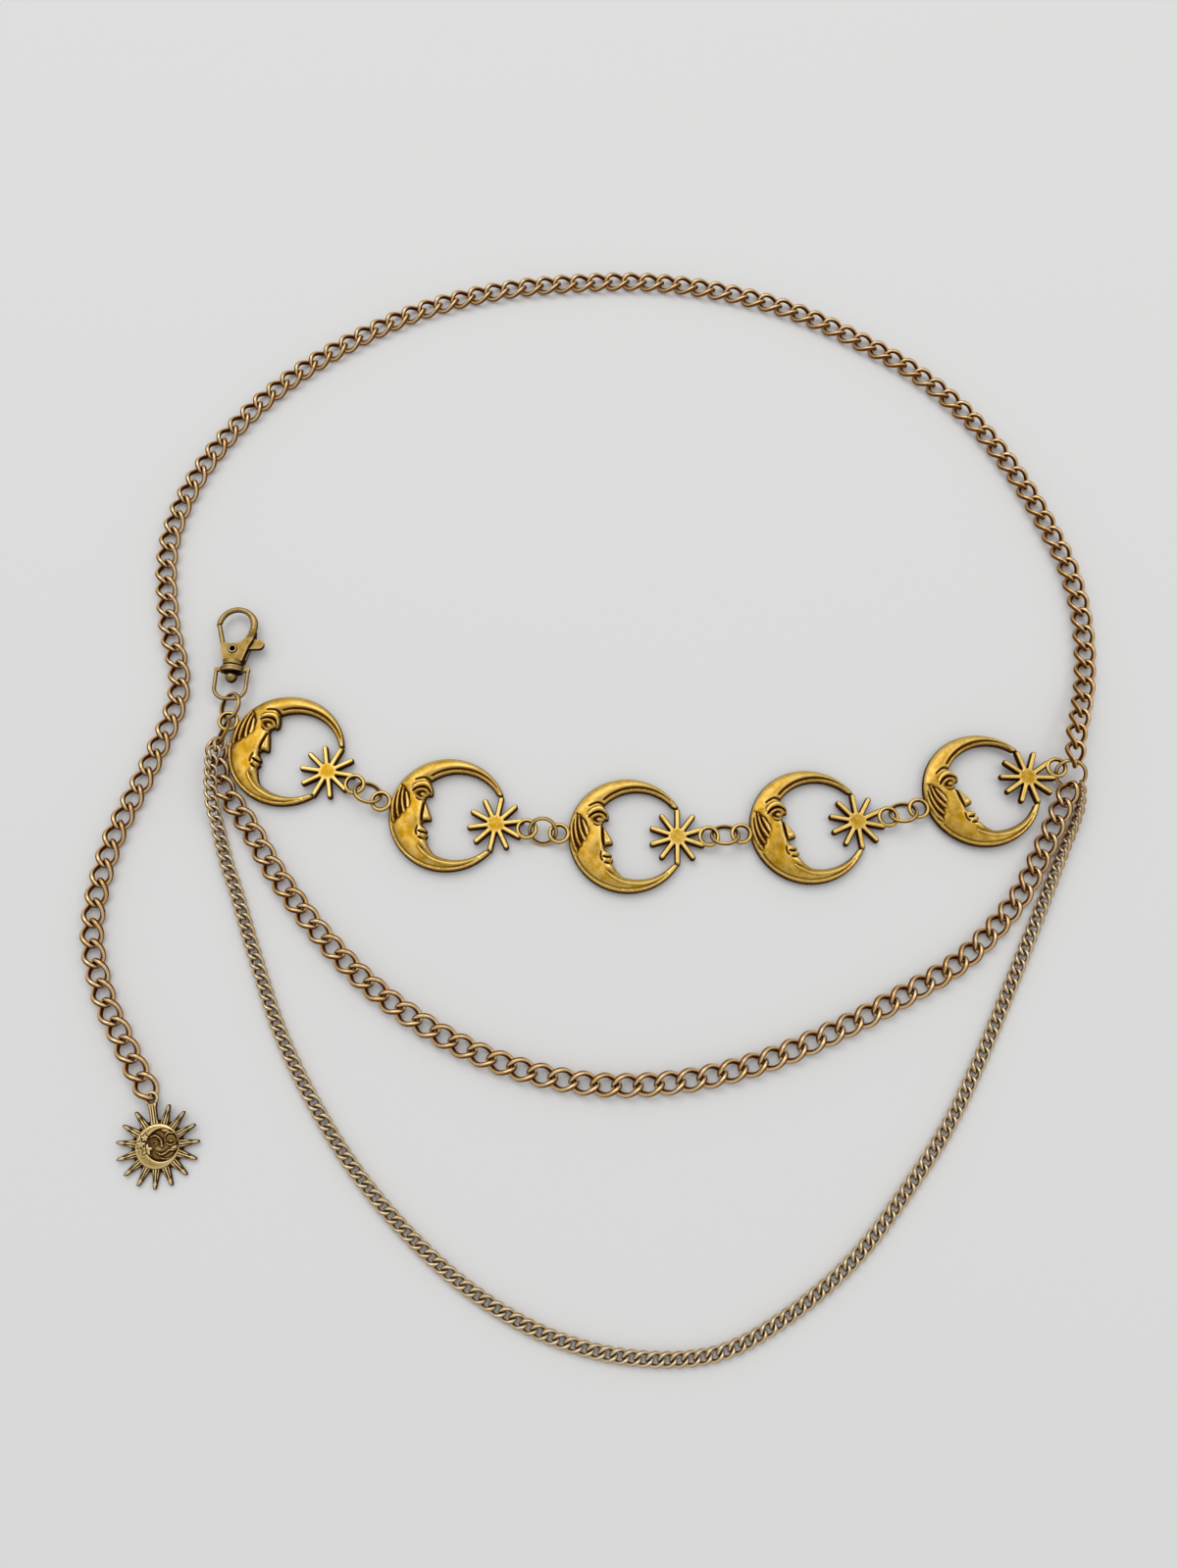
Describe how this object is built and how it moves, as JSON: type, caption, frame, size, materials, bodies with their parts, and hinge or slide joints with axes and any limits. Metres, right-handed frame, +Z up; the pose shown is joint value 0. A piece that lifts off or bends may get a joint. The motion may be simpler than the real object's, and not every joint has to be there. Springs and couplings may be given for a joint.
{
  "type": "waist chain",
  "caption": "Layered waist chain laid flat: crescent moon and star castings on jump rings, coarse and fine curb chain swags, a trigger clasp and a sun pendant.",
  "frame": {"origin": "middle of the laid piece's outline, on the surface that it lies on", "axes": "+Z up from the surface, +Y from the lower swag towards the back of the waist loop, +X to the picture's right"},
  "size_m": [0.3566, 0.4067, 0.0096],
  "materials": {
    "moon_gold": "antiqued, worn satin with dark recesses",
    "ring_gold": "satin",
    "chain_copper": "antiqued satin",
    "chain_pale": "satin",
    "clasp_brass": "antiqued satin",
    "pendant_brass": "antiqued, dark recesses"
  },
  "bodies": {
    "belt": {"swivel_eye": "clasp_brass", "clasp_ring": "ring_gold", "moon_1": "moon_gold", "moon_2": "moon_gold", "moon_3": "moon_gold", "moon_4": "moon_gold", "moon_5": "moon_gold", "link_ring_1": "ring_gold", "link_ring_2": "ring_gold", "link_ring_3": "ring_gold", "link_ring_4": "ring_gold", "side_ring": "ring_gold", "junction_ring": "ring_gold", "back_chain": "chain_copper", "lower_chain": "chain_copper", "fine_chain": "chain_pale", "sun_pendant": "pendant_brass"},
    "hook": {"clasp_hook": "clasp_brass", "clasp_rivet": "clasp_brass"},
    "lever": {"clasp_lever": "clasp_brass"}
  },
  "joints": [
    {"name": "hook_swivel", "type": "hinge", "parent": "belt", "child": "hook", "pos_m": [-0.13634, 0.0224, 0.0036], "axis": [0.0349, 0.9994, 0], "continuous": true},
    {"name": "lever_hinge", "type": "hinge", "parent": "hook", "child": "lever", "pos_m": [-0.13628, 0.0327, 0.0036], "axis": [0, 0, -1], "range_deg": [0, 25], "stiffness_Nm_per_rad": 0.03, "springref_deg": -11.46}
  ]
}
